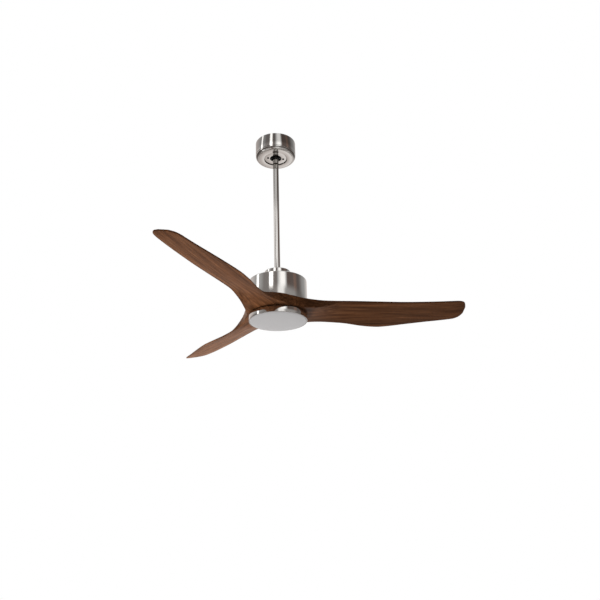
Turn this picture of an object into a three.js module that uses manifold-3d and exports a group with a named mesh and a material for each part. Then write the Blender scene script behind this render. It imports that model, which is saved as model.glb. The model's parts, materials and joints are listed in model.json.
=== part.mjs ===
// Ceiling fan with a light: three solid walnut blades under a brushed nickel motor,
// hung from a ceiling canopy on a straight downrod, with a round LED light below.
// Millimetres, +Z up. The origin is the centre of the bracket's face on the ceiling.

import * as THREE from 'three';
import { mergeVertices } from 'three/addons/utils/BufferGeometryUtils.js';
import Module from 'manifold-3d';

const wasm = await Module();
wasm.setup();

// ---------------------------------------------------------------- driving dimensions

const GAP = 0.3;                  // clearance between pieces that touch
const FINE = 32;                  // sides of a large round piece
const MEDIUM = 20;                // sides of a middling round piece
const SMALL = 8;                  // sides of a screw or pin

const SWEEP_RADIUS = 658;         // blade tips
const REST_TURN = 4.6;            // degrees that blade_1 is turned from +X at rest
const BLADES = 3;

const CANOPY_RADIUS = 75;
const CANOPY_DEPTH = 66;
const CANOPY_CORNER = 12;
const CANOPY_RECESS_RADIUS = 42;
const CANOPY_HOLE_RADIUS = 21.3;
const CANOPY_SKIN = 1.5;
const RECESS = 3;                 // depth of the canopy's middle recess

const ROD_RADIUS = 10.65;
const ROD_BORE = 9.2;
const ROD_TOP = -18;
const ROD_BOTTOM = -566;

const BALL_Z = -36;               // centre of the hanger ball, where the fan swings
const BALL_RADIUS = 21;
const BALL_CUT = 14;              // the ball is cut flat this far above its centre
const SEAT_INNER = 21.5;
const SEAT_OUTER = 24.3;
const BOWL_INNER = 24.8;
const BOWL_OUTER = 26.3;

const COVER_TOP = -574;           // motor cover
const COVER_BOTTOM = -660.3;
const COVER_RADIUS = 102;
const COVER_SKIN = 1.5;
const CAP_TOP = -536;             // coupling cover on top of the motor
const CAP_RADIUS = 46;

const SHAFT_RADIUS = 8;
const SHAFT_BORE = 5.6;
const WOOD_TOP = -663.3;          // blade roots
const WOOD_BOTTOM = -696.8;
const ROOT_BORE = 30;
const ROOT_RECESS_RADIUS = 88;    // recess for the clamp plates under the roots
const ROOT_RECESS_Z = -690;

const RING_RADIUS = 101.4;        // light
const RING_TOP = -699.6;
const RING_BOTTOM = -720.8;
const LIGHT_BOTTOM = -724;

// ---------------------------------------------------------------- materials

function finish(color, roughness, metalness) {
  return () => new THREE.MeshStandardMaterial({ color, roughness, metalness });
}

const nickel = finish(0xb9b2ac, 0.28, 1);
const steel = finish(0x9a9a9c, 0.4, 1);
const darkSteel = finish(0x1c1c1e, 0.45, 0.6);
const walnut = finish(0x5b3a26, 0.5, 0);
const blackRubber = finish(0x101010, 0.8, 0);
const blackPlastic = finish(0x181818, 0.5, 0);
const whitePlastic = finish(0xe6e6e2, 0.45, 0);
const opal = finish(0xc9c9cb, 0.4, 0);
const castAlloy = finish(0xa8a9ab, 0.5, 1);
const siliconSteel = finish(0x77787c, 0.5, 1);
const copper = finish(0xa85a2c, 0.35, 1);
const ferrite = finish(0x2a2a2c, 0.6, 0.2);
const circuitBoard = finish(0x1f5b34, 0.5, 0);
const whiteBoard = finish(0xf0efe9, 0.5, 0);

// ---------------------------------------------------------------- shape helpers

// A three.js geometry as a closed solid with its faces pointing out.
function solid(geometry) {
  const bare = geometry.clone();
  bare.deleteAttribute('normal');
  bare.deleteAttribute('uv');
  const welded = mergeVertices(bare, 1e-4);
  const corners = welded.index.array;
  const points = welded.attributes.position;
  const triangles = [];
  const a = new THREE.Vector3();
  const b = new THREE.Vector3();
  const c = new THREE.Vector3();
  let volume = 0;
  for (let i = 0; i < corners.length; i += 3) {
    const [p, q, r] = corners.slice(i, i + 3);
    if (p === q || q === r || r === p) continue;
    triangles.push([p, q, r]);
    a.fromBufferAttribute(points, p);
    b.fromBufferAttribute(points, q);
    c.fromBufferAttribute(points, r);
    volume += a.dot(b.cross(c));
  }
  const outward = volume > 0 ? triangles : triangles.map(([p, q, r]) => [p, r, q]);
  return new wasm.Manifold(new wasm.Mesh({
    numProp: 3,
    vertProperties: new Float32Array(points.array),
    triVerts: new Uint32Array(outward.flat()),
  }));
}

function join(first, ...others) {
  return others.reduce((whole, other) => whole.add(other), first);
}

function cut(first, ...others) {
  return others.reduce((whole, other) => whole.subtract(other), first);
}

// A solid of revolution about Z from [radius, z] points. It closes on itself,
// unless it starts on the axis.
function turned(profile, sides) {
  const points = profile.map(([r, z]) => new THREE.Vector2(r, z));
  if (profile[0][0] > 0) points.push(points[0].clone());
  return solid(new THREE.LatheGeometry(points, sides).rotateX(Math.PI / 2));
}

// Points on an arc about [r, z], in degrees from the outward direction, up being 90.
function arc(r, z, radius, from, to, steps) {
  const points = [];
  for (let i = 0; i <= steps; i += 1) {
    const angle = THREE.MathUtils.degToRad(from + (to - from) * i / steps);
    points.push([r + radius * Math.cos(angle), z + radius * Math.sin(angle)]);
  }
  return points;
}

function ring(inner, outer, bottom, top, sides) {
  return turned([[inner, bottom], [outer, bottom], [outer, top], [inner, top]], sides);
}

function disc(radius, bottom, top, sides) {
  return turned([[0, bottom], [radius, bottom], [radius, top], [0, top]], sides);
}

function box(x0, x1, y0, y1, z0, z1) {
  const geometry = new THREE.BoxGeometry(x1 - x0, y1 - y0, z1 - z0);
  return solid(geometry.translate((x0 + x1) / 2, (y0 + y1) / 2, (z0 + z1) / 2));
}

// A round bar between two points.
function bar(radius, from, to, sides = SMALL) {
  const start = new THREE.Vector3(...from);
  const way = new THREE.Vector3(...to).sub(start);
  const geometry = new THREE.CylinderGeometry(radius, radius, way.length(), sides);
  const turn = new THREE.Quaternion().setFromUnitVectors(
    new THREE.Vector3(0, 1, 0), way.clone().normalize());
  geometry.applyQuaternion(turn);
  const middle = start.addScaledVector(way, 0.5);
  return solid(geometry.translate(middle.x, middle.y, middle.z));
}

// A flat outline raised from bottom to top.
function raised(shape, bottom, top, curveSegments = 4) {
  const options = { depth: top - bottom, bevelEnabled: false, curveSegments };
  return solid(new THREE.ExtrudeGeometry(shape, options).translate(0, 0, bottom));
}

function roundedBox(x0, x1, y0, y1, z0, z1, corner) {
  const shape = new THREE.Shape();
  shape.moveTo(x0 + corner, y0);
  shape.absarc(x1 - corner, y0 + corner, corner, -Math.PI / 2, 0);
  shape.absarc(x1 - corner, y1 - corner, corner, 0, Math.PI / 2);
  shape.absarc(x0 + corner, y1 - corner, corner, Math.PI / 2, Math.PI);
  shape.absarc(x0 + corner, y0 + corner, corner, Math.PI, Math.PI * 1.5);
  return raised(shape, z0, z1, 3);
}

// A wire of round section along a smooth route.
function wire(radius, route, steps) {
  const shape = new THREE.Shape();
  shape.absarc(0, 0, radius, 0, Math.PI * 2);
  const extrudePath = new THREE.CatmullRomCurve3(route.map((point) => new THREE.Vector3(...point)));
  return solid(new THREE.ExtrudeGeometry(shape, { steps, extrudePath, curveSegments: 4 }));
}

// A bolt along Z: its head's lower or upper side is at seat, and its shank ends at tip.
function bolt(x, y, shank, seat, tip, head, headHeight) {
  const away = Math.sign(seat - tip);
  const profile = [[0, tip], [shank, tip], [shank, seat], [head, seat],
    [head, seat + away * headHeight * 0.6], [head * 0.7, seat + away * headHeight],
    [0, seat + away * headHeight]];
  return turned(profile, SMALL).translate([x, y, 0]);
}

// A smooth curve through [x, value] points, read at any x between them.
function through(points, x) {
  const last = points.length - 1;
  let i = 0;
  while (i < last - 1 && x > points[i + 1][0]) i += 1;
  const slope = (k) => {
    const before = points[Math.max(k - 1, 0)];
    const after = points[Math.min(k + 1, last)];
    return (after[1] - before[1]) / (after[0] - before[0]);
  };
  const width = points[i + 1][0] - points[i][0];
  const t = THREE.MathUtils.clamp((x - points[i][0]) / width, 0, 1);
  const blend = t * t * (3 - 2 * t);
  return points[i][1] + (points[i + 1][1] - points[i][1]) * blend
    + width * t * (1 - t) * ((1 - t) * slope(i) - t * slope(i + 1));
}

// A closed skin over a row of sections, each a loop with the same number of points.
function loft(sections) {
  const count = sections[0].length;
  const positions = sections.flat(2);
  const index = [];
  for (let s = 0; s + 1 < sections.length; s += 1) {
    for (let k = 0; k < count; k += 1) {
      const a = s * count + k;
      const b = s * count + (k + 1) % count;
      index.push(a, b, a + count, b, b + count, a + count);
    }
  }
  const lastStart = (sections.length - 1) * count;
  for (let k = 1; k < count / 2; k += 1) {
    const left = k - 1;
    const right = count - k;
    index.push(left, right, k);
    if (right - 1 > k) index.push(right, right - 1, k);
    index.push(lastStart + left, lastStart + k, lastStart + right);
    if (right - 1 > k) index.push(lastStart + right, lastStart + k, lastStart + right - 1);
  }
  const geometry = new THREE.BufferGeometry();
  geometry.setAttribute('position', new THREE.Float32BufferAttribute(positions, 3));
  geometry.setIndex(index);
  return solid(geometry);
}

// ---------------------------------------------------------------- scene graph

const fan = new THREE.Group();

function piece(name, material, body, parent = fan) {
  const { vertProperties, triVerts } = body.getMesh();
  const geometry = new THREE.BufferGeometry();
  geometry.setAttribute('position', new THREE.BufferAttribute(new Float32Array(vertProperties), 3));
  geometry.setIndex(new THREE.BufferAttribute(new Uint32Array(triVerts), 1));
  geometry.computeVertexNormals();
  const mesh = new THREE.Mesh(geometry, material());
  mesh.name = name;
  parent.add(mesh);
}

// ---------------------------------------------------------------- ceiling bracket

const BRACKET_RADIUS = 56;
const BRACKET_PLATE = 2.5;
const FLANGE_RADIUS = 37;         // flange of the bowl that holds the ball
const FLANGE_TOP = BALL_Z + 2;
const BOWL_EDGE = 50;             // degrees from straight down where the bowl stops
const LEG_IN = 31;
const LEG_OUT = 33;
const LEG_HALF = 14;
const SLOT_Y = 45;                // ceiling screw slots, 90 apart
const SLOT_HALF_LENGTH = 5;
const SLOT_RADIUS = 2.75;
const WIRE_HOLE = { x: 22, y: -22, radius: 8 };
const CANOPY_SCREW_RADIUS = 28.8; // where the canopy screws stand
const CANOPY_SCREW_TURNS = [189, 9];
const CANOPY_SCREW_HOLE = 2.3;
const CANOPY_SCREW_SHANK = 1.9;
const CANOPY_SCREW_HEAD = 4;

function onCircle(radius, degrees) {
  const angle = THREE.MathUtils.degToRad(degrees);
  return [radius * Math.cos(angle), radius * Math.sin(angle)];
}

const bowl = turned([
  ...arc(0, BALL_Z, BOWL_INNER, BOWL_EDGE - 90, 0, 4),
  [BOWL_INNER, FLANGE_TOP],
  [FLANGE_RADIUS, FLANGE_TOP],
  [FLANGE_RADIUS, BALL_Z],
  ...arc(0, BALL_Z, BOWL_OUTER, 0, BOWL_EDGE - 90, 4),
], MEDIUM);

// Cuts run from below the plate to above it.
const plateCut = { bottom: -BRACKET_PLATE - 2, top: 1 };
const ceilingSlots = [-SLOT_Y, SLOT_Y].map((y) => join(
  box(-SLOT_HALF_LENGTH, SLOT_HALF_LENGTH, y - SLOT_RADIUS, y + SLOT_RADIUS,
    plateCut.bottom, plateCut.top),
  ...[-SLOT_HALF_LENGTH, SLOT_HALF_LENGTH].map(
    (x) => bar(SLOT_RADIUS, [x, y, plateCut.bottom], [x, y, plateCut.top])),
));
const canopyScrewHoles = CANOPY_SCREW_TURNS.map((turn) => {
  const [x, y] = onCircle(CANOPY_SCREW_RADIUS, turn);
  return bar(CANOPY_SCREW_HOLE, [x, y, -CANOPY_DEPTH - 4], [x, y, FLANGE_TOP + 4]);
});

piece('hanger_bracket', darkSteel, cut(
  join(
    disc(BRACKET_RADIUS, -BRACKET_PLATE, 0, MEDIUM),
    box(-LEG_HALF, LEG_HALF, LEG_IN, LEG_OUT, BALL_Z, -1),
    box(-LEG_HALF, LEG_HALF, -LEG_OUT, -LEG_IN, BALL_Z, -1),
    bowl,
  ),
  ...ceilingSlots,
  ...canopyScrewHoles,
  bar(WIRE_HOLE.radius, [WIRE_HOLE.x, WIRE_HOLE.y, plateCut.bottom],
    [WIRE_HOLE.x, WIRE_HOLE.y, plateCut.top], MEDIUM),
));

// ---------------------------------------------------------------- canopy

const canopyInner = CANOPY_RADIUS - CANOPY_SKIN;
const recessZ = -CANOPY_DEPTH + RECESS;
const LIP = 4;                    // height of the lip turned in round the hole

piece('canopy', nickel, cut(
  turned([
    [CANOPY_RADIUS, -1],
    ...arc(CANOPY_RADIUS - CANOPY_CORNER, -CANOPY_DEPTH + CANOPY_CORNER, CANOPY_CORNER, 0, -90, 3),
    [CANOPY_RECESS_RADIUS + 0.6, -CANOPY_DEPTH],
    [CANOPY_RECESS_RADIUS - 0.6, recessZ],
    [CANOPY_HOLE_RADIUS + CANOPY_SKIN, recessZ],
    [CANOPY_HOLE_RADIUS, recessZ + CANOPY_SKIN],
    [CANOPY_HOLE_RADIUS, recessZ + LIP],
    [CANOPY_HOLE_RADIUS + CANOPY_SKIN, recessZ + LIP],
    [CANOPY_HOLE_RADIUS + CANOPY_SKIN, recessZ + CANOPY_SKIN],
    [CANOPY_RECESS_RADIUS, recessZ + CANOPY_SKIN],
    [CANOPY_RECESS_RADIUS + CANOPY_SKIN, -CANOPY_DEPTH + CANOPY_SKIN],
    ...arc(canopyInner - CANOPY_CORNER + CANOPY_SKIN, -CANOPY_DEPTH + CANOPY_CORNER,
      CANOPY_CORNER - CANOPY_SKIN, -90, 0, 2),
    [canopyInner, -1],
  ], FINE),
  ...canopyScrewHoles,
));

CANOPY_SCREW_TURNS.forEach((turn, i) => {
  const [x, y] = onCircle(CANOPY_SCREW_RADIUS, turn);
  piece(`canopy_screw_${i + 1}`, darkSteel,
    bolt(x, y, CANOPY_SCREW_SHANK, recessZ - GAP, FLANGE_TOP + 2, CANOPY_SCREW_HEAD, 1.8));
});

// ---------------------------------------------------------------- wiring in the canopy

const UNDER_PLATE = -BRACKET_PLATE - GAP;
const receiver = { x0: -54, x1: -28, half: 24, bottom: -19 };
const terminal = { x0: 30, x1: 46, half: 14, bottom: -13 };
const LEAD_RADIUS = 1.8;
const WIRE_END = 0.6;             // a wire stops this far from the box that it enters
const inputLeadZ = -11;

piece('receiver_box', blackPlastic, roundedBox(receiver.x0, receiver.x1,
  -receiver.half, receiver.half, receiver.bottom, UNDER_PLATE, 3));

const terminalWays = [-8.5, 0, 8.5].map((y) => box(
  terminal.x0 + 4, terminal.x1 - 4, y - 2.4, y + 2.4, terminal.bottom - 1, terminal.bottom + 5));
piece('terminal_block', whitePlastic, cut(
  box(terminal.x0, terminal.x1, -terminal.half, terminal.half, terminal.bottom, UNDER_PLATE),
  ...terminalWays,
));

piece('input_lead', whitePlastic, wire(LEAD_RADIUS, [
  [-41, receiver.half + WIRE_END, inputLeadZ],
  [-41, receiver.half + 4, inputLeadZ],
  [-37, 34, inputLeadZ],
  [-22, 41, inputLeadZ],
  [0, 43, inputLeadZ],
  [22, 41, inputLeadZ + 1],
  [35, 29, inputLeadZ + 2],
  [38, terminal.half + 5, inputLeadZ + 2],
  [38, terminal.half + WIRE_END, inputLeadZ + 2],
], 18));

const socket = { x: -23, y: 15, bottom: -16, top: -7 };
piece('lead_socket', whitePlastic,
  box(socket.x - 4, socket.x + 4, socket.y - 5, socket.y + 5, socket.bottom, socket.top));
piece('receiver_lead', blackPlastic, wire(LEAD_RADIUS, [
  [-42, 12, receiver.bottom - WIRE_END],
  [-42, 12, receiver.bottom - 4],
  [-40, 14, -28],
  [-33, 17, -31],
  [-26, 17, -28],
  [socket.x, socket.y, socket.bottom - 5],
  [socket.x, socket.y, socket.bottom - WIRE_END],
], 12));

// ---------------------------------------------------------------- hanger ball and its seat

const SEAT_EDGE = 45;             // degrees from straight down where the seat stops
const PIN_Z = BALL_Z + 8;         // pin through the rod's top, resting in the ball's slot
const PIN_RADIUS = 2.5;
const PIN_HALF = 15.5;
const BALL_SCREW_Z = BALL_Z - 4;
const SET_SCREW_RADIUS = 2.4;
const SET_SCREW_HOLE = 2.7;
const CROSS_CUT = 20;             // half length of a cut right through the rod

piece('ball_seat', blackRubber, turned([
  ...arc(0, BALL_Z, SEAT_INNER, SEAT_EDGE - 90, -5, 4),
  ...arc(0, BALL_Z, SEAT_OUTER, -5, SEAT_EDGE - 90, 4),
], MEDIUM));

const ballBore = ROD_RADIUS + 0.35;
const ballFoot = THREE.MathUtils.radToDeg(Math.acos(ballBore / BALL_RADIUS));
const ballBrow = THREE.MathUtils.radToDeg(Math.asin(BALL_CUT / BALL_RADIUS));
piece('hanger_ball', blackPlastic, cut(
  turned([
    ...arc(0, BALL_Z, BALL_RADIUS, -ballFoot, ballBrow, 8),
    [ballBore, BALL_Z + BALL_CUT],
  ], MEDIUM),
  box(-PIN_HALF - 1.5, PIN_HALF + 1.5, -PIN_RADIUS - 0.5, PIN_RADIUS + 0.5,
    PIN_Z - PIN_RADIUS - 0.5, BALL_Z + BALL_RADIUS),
  bar(SET_SCREW_HOLE, [0, 0, BALL_SCREW_Z], [0, BALL_RADIUS + 4, BALL_SCREW_Z]),
));
piece('ball_pin', steel, bar(PIN_RADIUS, [-PIN_HALF, 0, PIN_Z], [PIN_HALF, 0, PIN_Z]));
piece('ball_set_screw', darkSteel,
  bar(SET_SCREW_RADIUS, [0, ballBore, BALL_SCREW_Z], [0, BALL_RADIUS - 2, BALL_SCREW_Z]));

// ---------------------------------------------------------------- downrod and its cable

const COUPLING_PIN_Z = -556;
const COUPLING_PIN_RADIUS = 3;
const CABLE_RADIUS = 2;
const CABLE_Y = 6;                // the cable passes beside both cross pins
const CABLE_SPLICE_Z = -550;
const couplingPinHole = bar(COUPLING_PIN_RADIUS + GAP,
  [-CROSS_CUT, 0, COUPLING_PIN_Z], [CROSS_CUT, 0, COUPLING_PIN_Z]);

piece('downrod', nickel, cut(
  ring(ROD_BORE, ROD_RADIUS, ROD_BOTTOM, ROD_TOP, MEDIUM),
  bar(PIN_RADIUS + GAP, [-CROSS_CUT, 0, PIN_Z], [CROSS_CUT, 0, PIN_Z]),
  couplingPinHole,
));

const plug = { bottom: -15, top: -8 };
piece('cable_plug', whitePlastic, box(-5, 5, CABLE_Y - 4, CABLE_Y + 4, plug.bottom, plug.top));
piece('fan_cable', blackPlastic,
  bar(CABLE_RADIUS, [0, CABLE_Y, plug.bottom - GAP], [0, CABLE_Y, CABLE_SPLICE_Z + GAP]));
piece('light_cable', blackPlastic, wire(CABLE_RADIUS, [
  [0, CABLE_Y, CABLE_SPLICE_Z - GAP],
  [0, CABLE_Y, -562],
  [0, 4, -572],
  [0, 1.5, -582],
  [0, 0, -594],
  [0, 0, -650],
  [0, 0, -700],
  [0.8, 0, -706.5],
  [4, 0, -711],
  [10, 0, -712.3],
  [21.4, 0, -712.3],
], 34));

// ---------------------------------------------------------------- coupling on the motor

const COUPLING_TOP = -546;
const COUPLING_RADIUS = 17;
const FLANGE_BOLT_RADIUS = 26;    // three bolts hold coupling, cover and shaft together
const FLANGE_BOLT_TURNS = [90, 210, 330];
const FLANGE_BOLT_SHANK = 2.5;
const MOTOR_FLANGE = 34;
const FLANGE_HEIGHT = 5;
const couplingBore = ROD_RADIUS + 0.35;
const COUPLING_SCREW_Z = -550.5;
const SHAFT_TOP = COVER_TOP - COVER_SKIN - GAP;

const flangeBoltHoles = FLANGE_BOLT_TURNS.map((turn) => {
  const [x, y] = onCircle(FLANGE_BOLT_RADIUS, turn);
  return bar(FLANGE_BOLT_SHANK + GAP, [x, y, SHAFT_TOP - 14], [x, y, COVER_TOP + 14]);
});

piece('rod_coupling', steel, cut(
  turned([
    [SHAFT_RADIUS, COVER_TOP + GAP],
    [MOTOR_FLANGE, COVER_TOP + GAP],
    [MOTOR_FLANGE, COVER_TOP + FLANGE_HEIGHT],
    [COUPLING_RADIUS, COVER_TOP + FLANGE_HEIGHT],
    [COUPLING_RADIUS, COUPLING_TOP],
    [couplingBore, COUPLING_TOP],
    [couplingBore, ROD_BOTTOM - GAP],
    [SHAFT_RADIUS, ROD_BOTTOM - GAP],
  ], MEDIUM),
  couplingPinHole,
  bar(SET_SCREW_HOLE, [0, ROD_BORE, COUPLING_SCREW_Z], [0, CROSS_CUT, COUPLING_SCREW_Z]),
  ...flangeBoltHoles,
));

const CLIP_X = 20.5;
const CLIP_RADIUS = 0.75;
const PIN_HEAD = 19;
piece('coupling_pin', steel, cut(
  join(
    bar(COUPLING_PIN_RADIUS, [-PIN_HEAD, 0, COUPLING_PIN_Z], [CLIP_X + 2.5, 0, COUPLING_PIN_Z]),
    bar(COUPLING_PIN_RADIUS + 1.5, [-PIN_HEAD, 0, COUPLING_PIN_Z],
      [-COUPLING_RADIUS - GAP, 0, COUPLING_PIN_Z]),
  ),
  bar(CLIP_RADIUS + 0.35, [CLIP_X, 0, COUPLING_PIN_Z - 6], [CLIP_X, 0, COUPLING_PIN_Z + 6]),
));
piece('hairpin_clip', steel, wire(CLIP_RADIUS, [
  [CLIP_X, 0, COUPLING_PIN_Z + 6],
  [CLIP_X, 0, COUPLING_PIN_Z],
  [CLIP_X, 0, COUPLING_PIN_Z - 6],
  [CLIP_X, 2.5, COUPLING_PIN_Z - 9],
  [CLIP_X, 5.4, COUPLING_PIN_Z - 6],
  [CLIP_X, 4.8, COUPLING_PIN_Z],
  [CLIP_X, 6.2, COUPLING_PIN_Z + 5],
], 14));
piece('coupling_set_screw', darkSteel,
  bar(SET_SCREW_RADIUS, [0, couplingBore, COUPLING_SCREW_Z],
    [0, COUPLING_RADIUS + 1.5, COUPLING_SCREW_Z]));

FLANGE_BOLT_TURNS.forEach((turn, i) => {
  const [x, y] = onCircle(FLANGE_BOLT_RADIUS, turn);
  piece(`flange_bolt_${i + 1}`, steel,
    bolt(x, y, FLANGE_BOLT_SHANK, COVER_TOP + FLANGE_HEIGHT + GAP, SHAFT_TOP - 3.8, 4.5, 3));
});

const CAP_CORNER = 3;
piece('coupling_cover', nickel, turned([
  [CAP_RADIUS - COVER_SKIN, COVER_TOP + GAP],
  [CAP_RADIUS, COVER_TOP + GAP],
  ...arc(CAP_RADIUS - CAP_CORNER, CAP_TOP - CAP_CORNER, CAP_CORNER, 0, 90, 3),
  [ROD_RADIUS + 0.6, CAP_TOP],
  [ROD_RADIUS + 0.6, CAP_TOP - COVER_SKIN],
  [CAP_RADIUS - CAP_CORNER, CAP_TOP - COVER_SKIN],
  [CAP_RADIUS - COVER_SKIN, CAP_TOP - CAP_CORNER],
], FINE));

// ---------------------------------------------------------------- motor cover and shaft

const COVER_CORNER = 4;
const COVER_HOLE = 12;
piece('motor_cover', nickel, cut(
  turned([
    [COVER_RADIUS - COVER_SKIN, COVER_BOTTOM],
    [COVER_RADIUS, COVER_BOTTOM],
    ...arc(COVER_RADIUS - COVER_CORNER, COVER_TOP - COVER_CORNER, COVER_CORNER, 0, 90, 3),
    [COVER_HOLE, COVER_TOP],
    [COVER_HOLE, COVER_TOP - COVER_SKIN],
    [COVER_RADIUS - COVER_CORNER, COVER_TOP - COVER_SKIN],
    [COVER_RADIUS - COVER_SKIN, COVER_TOP - COVER_CORNER],
  ], FINE),
  ...flangeBoltHoles,
));

const SHAFT_END = -709;
const SHAFT_FLANGE = 4;
const SHAFT_FUNNEL = 8;           // the bore widens at its top for the cable
piece('motor_shaft', steel, cut(
  turned([
    [SHAFT_BORE, SHAFT_END],
    [SHAFT_RADIUS, SHAFT_END],
    [SHAFT_RADIUS, SHAFT_TOP - SHAFT_FLANGE],
    [MOTOR_FLANGE, SHAFT_TOP - SHAFT_FLANGE],
    [MOTOR_FLANGE, SHAFT_TOP],
    [SHAFT_RADIUS, SHAFT_TOP],
    [SHAFT_BORE, SHAFT_TOP - SHAFT_FUNNEL],
  ], MEDIUM),
  ...flangeBoltHoles,
));

// ---------------------------------------------------------------- motor

const BOARD_TOP = SHAFT_TOP - SHAFT_FLANGE - GAP;
const BOARD_THICKNESS = 1.6;
const BOARD_RADIUS = 60;
const BOARD_PART_RADIUS = 49;
const BOARD_PART_TURNS = [20, 60, 100, 140, 200, 260, 310];
const BOARD_PART_HALF = 4;

// A square part that stands on a board at a turn about Z, sunk a little into it.
function boardPart(radius, turn, half, bottom, top) {
  const [x, y] = onCircle(radius, turn);
  return box(x - half, x + half, y - half, y + half, bottom, top);
}

piece('driver_board', circuitBoard, join(
  ring(SHAFT_RADIUS + GAP, BOARD_RADIUS, BOARD_TOP - BOARD_THICKNESS, BOARD_TOP, MEDIUM),
  ...BOARD_PART_TURNS.map((turn) => boardPart(
    BOARD_PART_RADIUS, turn, BOARD_PART_HALF, BOARD_TOP - 0.5, BOARD_TOP + 2.8)),
));

const BEARING_OUTER = 15;
const BEARING_HEIGHT = 8;
const BOSS_OUTER = 19;
const UPPER_BELL_TOP = -588;
const UPPER_BEARING_TOP = UPPER_BELL_TOP - 2;
const LOWER_BELL_BOTTOM = -658.6;
const LOWER_BEARING_TOP = -646;
const BELL_RADIUS = 64;
const BELL_WALL = 3;
const BELL_BORE = SHAFT_RADIUS + 1;
const BEARING_SEAT = BEARING_OUTER + GAP;
const upperSeatTop = UPPER_BEARING_TOP + GAP;
const lowerSeatBottom = LOWER_BEARING_TOP - BEARING_HEIGHT - GAP;

for (const [name, top] of [['upper_bearing', UPPER_BEARING_TOP], ['lower_bearing', LOWER_BEARING_TOP]]) {
  piece(name, steel, ring(SHAFT_RADIUS + GAP, BEARING_OUTER, top - BEARING_HEIGHT, top, MEDIUM));
}

const CORE_TOP = -608;
const CORE_BOTTOM = -636;
const CORE_RADIUS = 50;
const POLES = 12;
const CORE_HUB = 20;
const SHOE_INNER = 46;            // each pole widens into a shoe from here to the rim
const SHOE_HALF = 11;             // degrees
const POLE_HALF = 4.2;
const WINDING_INNER = 22;
const WINDING_OUTER = 43;
const WINDING_HEIGHT = 6;

// One pole, from its foot round its shoe and back, as [radius, degrees from its middle].
const pole = [
  [CORE_HUB, -SHOE_HALF], [SHOE_INNER, -POLE_HALF], [SHOE_INNER, -SHOE_HALF],
  [CORE_RADIUS, -SHOE_HALF], [CORE_RADIUS, 0], [CORE_RADIUS, SHOE_HALF],
  [SHOE_INNER, SHOE_HALF], [SHOE_INNER, POLE_HALF], [CORE_HUB, SHOE_HALF],
];
const coreOutline = [];
for (let i = 0; i < POLES; i += 1) {
  for (const [radius, turn] of pole) {
    coreOutline.push(new THREE.Vector2(...onCircle(radius, i * 360 / POLES + turn)));
  }
}
const core = new THREE.Shape(coreOutline);
piece('stator_core', siliconSteel, cut(
  raised(core, CORE_BOTTOM, CORE_TOP),
  bar(SHAFT_RADIUS + GAP, [0, 0, CORE_BOTTOM - 1], [0, 0, CORE_TOP + 1], MEDIUM),
));
piece('upper_winding', copper,
  ring(WINDING_INNER, WINDING_OUTER, CORE_TOP + GAP, CORE_TOP + WINDING_HEIGHT, MEDIUM));
piece('lower_winding', copper,
  ring(WINDING_INNER, WINDING_OUTER, CORE_BOTTOM - WINDING_HEIGHT, CORE_BOTTOM - GAP, MEDIUM));

// ---------------------------------------------------------------- rotor, turned to its rest angle

const rotor = new THREE.Group();
rotor.rotation.z = THREE.MathUtils.degToRad(REST_TURN);
fan.add(rotor);

piece('rotor_upper_bell', castAlloy, turned([
  [BELL_BORE, UPPER_BELL_TOP],
  [BELL_RADIUS, UPPER_BELL_TOP],
  [BELL_RADIUS, UPPER_BELL_TOP - BELL_WALL],
  [BOSS_OUTER, UPPER_BELL_TOP - BELL_WALL],
  [BOSS_OUTER, UPPER_BEARING_TOP - BEARING_HEIGHT],
  [BEARING_SEAT, UPPER_BEARING_TOP - BEARING_HEIGHT],
  [BEARING_SEAT, upperSeatTop],
  [BELL_BORE, upperSeatTop],
], MEDIUM), rotor);

piece('rotor_lower_bell', castAlloy, turned([
  [BELL_BORE, LOWER_BELL_BOTTOM],
  [BELL_RADIUS, LOWER_BELL_BOTTOM],
  [BELL_RADIUS, UPPER_BELL_TOP - BELL_WALL - GAP],
  [BELL_RADIUS - BELL_WALL, UPPER_BELL_TOP - BELL_WALL - GAP],
  [BELL_RADIUS - BELL_WALL, LOWER_BELL_BOTTOM + BELL_WALL],
  [BOSS_OUTER, LOWER_BELL_BOTTOM + BELL_WALL],
  [BOSS_OUTER, LOWER_BEARING_TOP],
  [BEARING_SEAT, LOWER_BEARING_TOP],
  [BEARING_SEAT, lowerSeatBottom],
  [BELL_BORE, lowerSeatBottom],
], MEDIUM), rotor);

piece('magnet_ring', ferrite,
  ring(CORE_RADIUS + 2, BELL_RADIUS - BELL_WALL - 0.6, CORE_BOTTOM - 1, CORE_TOP + 1, MEDIUM), rotor);

// ---------------------------------------------------------------- blades

// A blade lies along +X of its own frame. Its high edge is on -Y and its low edge on +Y.
// The roots are 120 degree sectors that meet at seams, and VALLEY is where the edges of two
// neighbours meet.
const VALLEY = 54;                // x of the valley, at 60 degrees from the blade's axis
const SEAM = 0.25;                // each root stops this far in x from the seam
const tan60 = Math.tan(Math.PI / 3);
const PLATE_INNER = 44;
const PLATE_OUTER = 78;
const PLATE_THICKNESS = 2;
const PLATE_HALF = 30;            // degrees
const BLADE_BOLT = [60, 20];
const BLADE_BOLT_SHANK = 2.5;
const ROOT_START = 14;            // x where a root's point is cut off, inside the bore
const MIDDLE = (WOOD_TOP + WOOD_BOTTOM) / 2;

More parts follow.
